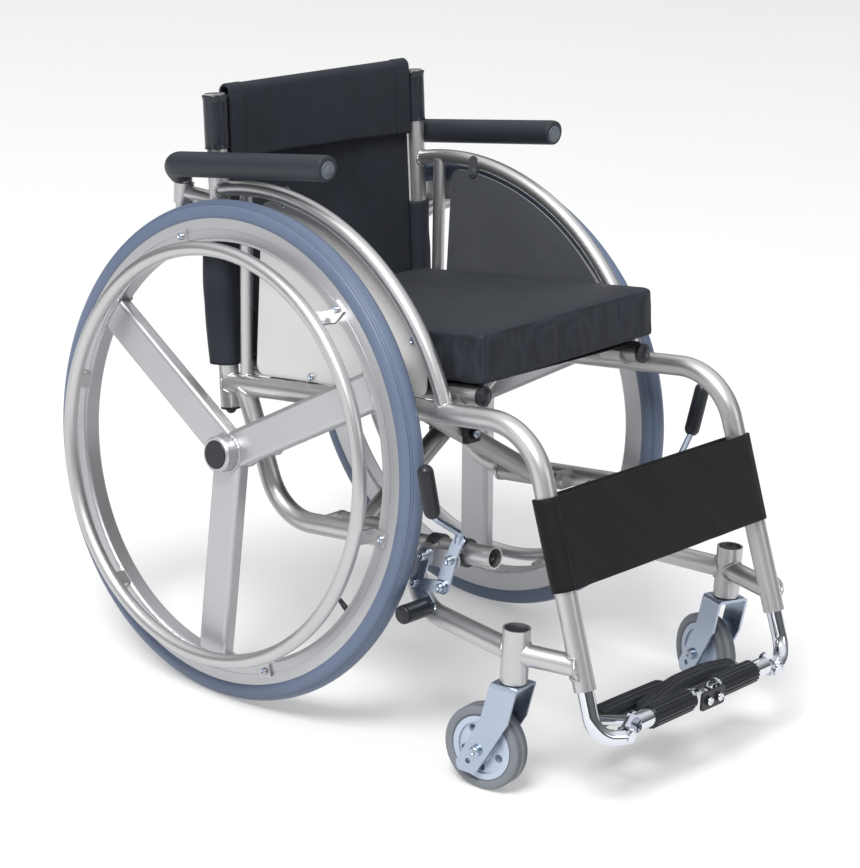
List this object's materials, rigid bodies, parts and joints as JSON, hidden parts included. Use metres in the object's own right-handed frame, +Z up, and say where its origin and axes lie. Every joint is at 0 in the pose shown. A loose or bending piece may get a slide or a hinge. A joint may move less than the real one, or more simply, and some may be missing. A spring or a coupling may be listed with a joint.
{
  "type": "manual folding wheelchair",
  "caption": "Folding wheelchair with cross-braced tube frame, cambered rear wheels with handrims, swivelling casters, brakes, swing-out armrests, cushion and fold-up footrest.",
  "frame": {"origin": "on the floor, at the middle of the bounding box", "axes": "+Z up, the chair faces -Y, its left side is +X"},
  "size_m": [0.5942, 0.876, 0.732],
  "materials": {
    "frame_paint": "satin silver paint",
    "brace_paint": "satin silver paint",
    "panel": "brushed",
    "black_plastic": "satin",
    "foam": "soft foam skin",
    "zinc": "pale bright zinc",
    "black_rubber": "moulded",
    "wheel_paint": "satin silver paint",
    "tyre_blue": "matt grey-blue",
    "rim_paint": "satin silver paint",
    "hub_plastic": "satin",
    "caster_rubber": "matt grey",
    "chrome": "polished",
    "nylon": "woven nylon",
    "cushion_cloth": "mesh-weave cloth"
  },
  "bodies": {
    "left_frame": {"left_back_cane": "frame_paint", "left_seat_tube": "frame_paint", "left_lower_rail": "frame_paint", "left_guard_hoop": "frame_paint", "left_side_panel": "panel", "left_brackets": "frame_paint", "left_frame_plugs": "black_plastic", "left_hanger_tube": "chrome", "back_upholstery": "nylon", "back_flap": "nylon", "calf_strap": "nylon"},
    "left_armrest": {"left_armrest_tube": "frame_paint", "left_armrest_pad": "foam"},
    "left_brake_lever": {"left_brake_lever": "zinc", "left_brake_grip": "black_rubber"},
    "left_brake_arm": {"left_brake_arm": "zinc", "left_brake_roller": "black_plastic"},
    "left_brake_link": {"left_brake_link": "zinc"},
    "left_wheel": {"left_wheel": "wheel_paint", "left_tyre": "tyre_blue", "left_handrim": "rim_paint", "left_axle_cap": "black_plastic"},
    "left_fork": {"left_caster_fork": "zinc"},
    "left_caster": {"left_caster_wheel": "hub_plastic", "left_caster_tyre": "caster_rubber"},
    "left_foot": {"left_foot_frame": "chrome", "left_foot_grip": "black_rubber"},
    "right_frame": {"right_back_cane": "frame_paint", "right_seat_tube": "frame_paint", "right_lower_rail": "frame_paint", "right_guard_hoop": "frame_paint", "right_side_panel": "panel", "right_brackets": "frame_paint", "right_frame_plugs": "black_plastic", "right_hanger_tube": "chrome"},
    "right_armrest": {"right_armrest_tube": "frame_paint", "right_armrest_pad": "foam"},
    "right_brake_lever": {"right_brake_lever": "zinc", "right_brake_grip": "black_rubber"},
    "right_brake_arm": {"right_brake_arm": "zinc", "right_brake_roller": "black_plastic"},
    "right_brake_link": {"right_brake_link": "zinc"},
    "right_wheel": {"right_wheel": "wheel_paint", "right_tyre": "tyre_blue", "right_handrim": "rim_paint", "right_axle_cap": "black_plastic"},
    "right_fork": {"right_caster_fork": "zinc"},
    "right_caster": {"right_caster_wheel": "hub_plastic", "right_caster_tyre": "caster_rubber"},
    "right_foot": {"right_foot_frame": "chrome", "right_foot_grip": "black_rubber"},
    "crossbar_a": {"crossbar_a": "brace_paint", "rail_caps_a": "black_plastic", "pivot_bolt": "black_plastic"},
    "crossbar_b": {"crossbar_b": "brace_paint", "rail_caps_b": "black_plastic"},
    "seat": {"seat_sling": "nylon", "cushion": "cushion_cloth"},
    "foot_link": {"foot_link": "black_plastic"}
  },
  "joints": [
    {"name": "fold", "type": "hinge", "parent": "left_frame", "child": "crossbar_a", "pos_m": [0.15, -0.03052, 0.23532], "axis": [0, 0.9925, -0.1219], "range_deg": [0, 44], "deforming": ["seat_sling", "cushion", "back_upholstery", "back_flap", "calf_strap"]},
    {"name": "fold_centre", "type": "hinge", "parent": "crossbar_a", "child": "crossbar_b", "pos_m": [0, -0.02265, 0.32399], "axis": [0, 0.9925, -0.1219], "range_deg": [-88.01, 0]},
    {"name": "fold_right", "type": "hinge", "parent": "crossbar_b", "child": "right_frame", "pos_m": [-0.15, -0.03052, 0.23532], "axis": [0, 0.9925, -0.1219], "range_deg": [0, 44.01]},
    {"name": "seat_lift", "type": "hinge", "parent": "crossbar_b", "child": "seat", "pos_m": [0.15, -0.00101, 0.41002], "axis": [0, 0.9925, -0.1219], "range_deg": [0, 44.01]},
    {"name": "left_wheel_spin", "type": "hinge", "parent": "left_frame", "child": "left_wheel", "pos_m": [0.2295, 0.13, 0.30429], "axis": [0.9976, 0, 0.0698], "continuous": true},
    {"name": "left_caster_swivel", "type": "hinge", "parent": "left_frame", "child": "left_fork", "pos_m": [0.2064, -0.3067, 0.165], "axis": [0, 0, 1], "continuous": true},
    {"name": "left_caster_spin", "type": "hinge", "parent": "left_fork", "child": "left_caster", "pos_m": [0.2167, -0.27746, 0.05], "axis": [0.9432, -0.3322, 0], "continuous": true},
    {"name": "left_armrest_swing", "type": "hinge", "parent": "left_frame", "child": "left_armrest", "pos_m": [0.178, 0.28, 0.6], "axis": [0, 0, 1], "range_deg": [0, 90]},
    {"name": "left_brake", "type": "hinge", "parent": "left_frame", "child": "left_brake_lever", "pos_m": [0.2045, -0.2027, 0.2518], "axis": [1, 0, 0], "range_deg": [0, 11.6]},
    {"name": "left_brake_arm_turn", "type": "hinge", "parent": "left_frame", "child": "left_brake_arm", "pos_m": [0.2045, -0.1629, 0.2465], "axis": [1, 0, 0], "range_deg": [0, 11.61]},
    {"name": "left_brake_link_turn", "type": "hinge", "parent": "left_brake_lever", "child": "left_brake_link", "pos_m": [0.2077, -0.1938, 0.2174], "axis": [1, 0, 0], "range_deg": [-11.61, 0]},
    {"name": "left_foot_fold", "type": "hinge", "parent": "left_frame", "child": "left_foot", "pos_m": [0.1446, -0.4236, 0.0916], "axis": [0, 1, 0], "range_deg": [0, 79.21]},
    {"name": "right_wheel_spin", "type": "hinge", "parent": "right_frame", "child": "right_wheel", "pos_m": [-0.2295, 0.13, 0.30429], "axis": [-0.9976, 0, 0.0698], "continuous": true},
    {"name": "right_caster_swivel", "type": "hinge", "parent": "right_frame", "child": "right_fork", "pos_m": [-0.2064, -0.3067, 0.165], "axis": [0, 0, 1], "continuous": true},
    {"name": "right_caster_spin", "type": "hinge", "parent": "right_fork", "child": "right_caster", "pos_m": [-0.21002, -0.27591, 0.05], "axis": [-0.9932, -0.1167, 0], "continuous": true},
    {"name": "right_armrest_swing", "type": "hinge", "parent": "right_frame", "child": "right_armrest", "pos_m": [-0.178, 0.28, 0.6], "axis": [0, 0, -1], "range_deg": [0, 90]},
    {"name": "right_brake", "type": "hinge", "parent": "right_frame", "child": "right_brake_lever", "pos_m": [-0.2045, -0.2027, 0.2518], "axis": [1, 0, 0], "range_deg": [0, 11.6]},
    {"name": "right_brake_arm_turn", "type": "hinge", "parent": "right_frame", "child": "right_brake_arm", "pos_m": [-0.2045, -0.1629, 0.2465], "axis": [1, 0, 0], "range_deg": [0, 11.61]},
    {"name": "right_brake_link_turn", "type": "hinge", "parent": "right_brake_lever", "child": "right_brake_link", "pos_m": [-0.2077, -0.1938, 0.2174], "axis": [1, 0, 0], "range_deg": [-11.61, 0]},
    {"name": "right_foot_fold", "type": "hinge", "parent": "right_frame", "child": "right_foot", "pos_m": [-0.1446, -0.4236, 0.0916], "axis": [0, -1, 0], "range_deg": [0, 79.21]},
    {"name": "foot_link_turn", "type": "hinge", "parent": "left_foot", "child": "foot_link", "pos_m": [0.01, -0.43, 0.1], "axis": [0, 1, 0], "range_deg": [-79.21, 0]}
  ],
  "couplings": [
    {"joint": "fold_centre", "follows": "fold", "ratio": -2},
    {"joint": "fold_right", "follows": "fold", "ratio": 1},
    {"joint": "seat_lift", "follows": "fold", "ratio": 1},
    {"joint": "left_brake_arm_turn", "follows": "left_brake", "ratio": 1},
    {"joint": "left_brake_link_turn", "follows": "left_brake", "ratio": -1},
    {"joint": "left_foot_fold", "follows": "fold", "ratio": 1.8},
    {"joint": "right_brake_arm_turn", "follows": "right_brake", "ratio": 1},
    {"joint": "right_brake_link_turn", "follows": "right_brake", "ratio": -1},
    {"joint": "right_foot_fold", "follows": "fold", "ratio": 1.8},
    {"joint": "foot_link_turn", "follows": "fold", "ratio": -1.8}
  ]
}
